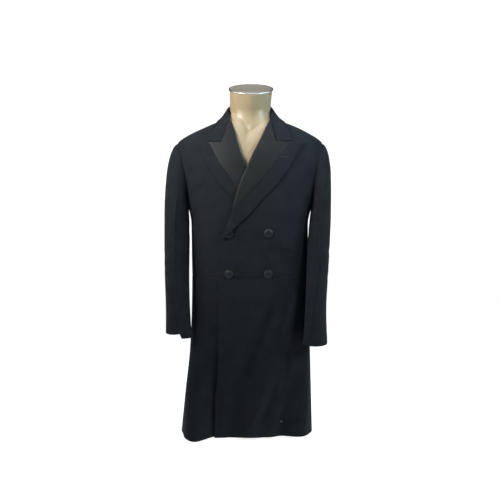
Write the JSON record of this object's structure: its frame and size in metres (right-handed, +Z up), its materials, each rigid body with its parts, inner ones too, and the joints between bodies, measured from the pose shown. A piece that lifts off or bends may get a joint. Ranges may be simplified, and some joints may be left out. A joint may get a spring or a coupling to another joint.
{
  "type": "frock coat on dress form",
  "caption": "Double-breasted frock coat in black wool with silk-faced peaked lapels, long sleeves and a knee-length skirt, on a headless dress form with a neck cap.",
  "frame": {"origin": "on the floor, at the middle of the underside of the form's round foot", "axes": "+Z up the height; the front of the coat faces -Y; +X is the wearer's left"},
  "size_m": [0.515, 0.3115, 1.0816],
  "materials": {
    "black_wool": "matt woven wool",
    "black_silk": "silk with a soft sheen",
    "button_cloth": "silk-covered button",
    "form_shell": "glossy cream shell",
    "form_steel": "bright rim, brushed top"
  },
  "bodies": {
    "root": {"front_left": "black_wool", "front_right": "black_wool", "side_left": "black_wool", "side_right": "black_wool", "back_left": "black_wool", "back_right": "black_wool", "skirt_left": "black_wool", "skirt_right": "black_wool", "lapel_left": "black_wool", "lapel_right": "black_wool", "facing_left": "black_silk", "facing_right": "black_silk", "collar_stand": "black_wool", "collar_fall": "black_wool", "top_sleeve_left": "black_wool", "top_sleeve_right": "black_wool", "under_sleeve_left": "black_wool", "under_sleeve_right": "black_wool", "front_button_1": "button_cloth", "front_button_2": "button_cloth", "front_button_3": "button_cloth", "front_button_4": "button_cloth", "back_button_left": "button_cloth", "back_button_right": "button_cloth", "cuff_button_left_1": "button_cloth", "cuff_button_left_2": "button_cloth", "cuff_button_left_3": "button_cloth", "cuff_button_right_1": "button_cloth", "cuff_button_right_2": "button_cloth", "cuff_button_right_3": "button_cloth", "form_torso": "form_shell", "neck_cap": "form_steel", "form_pole": "form_steel", "form_foot": "form_steel"}
  },
  "joints": []
}
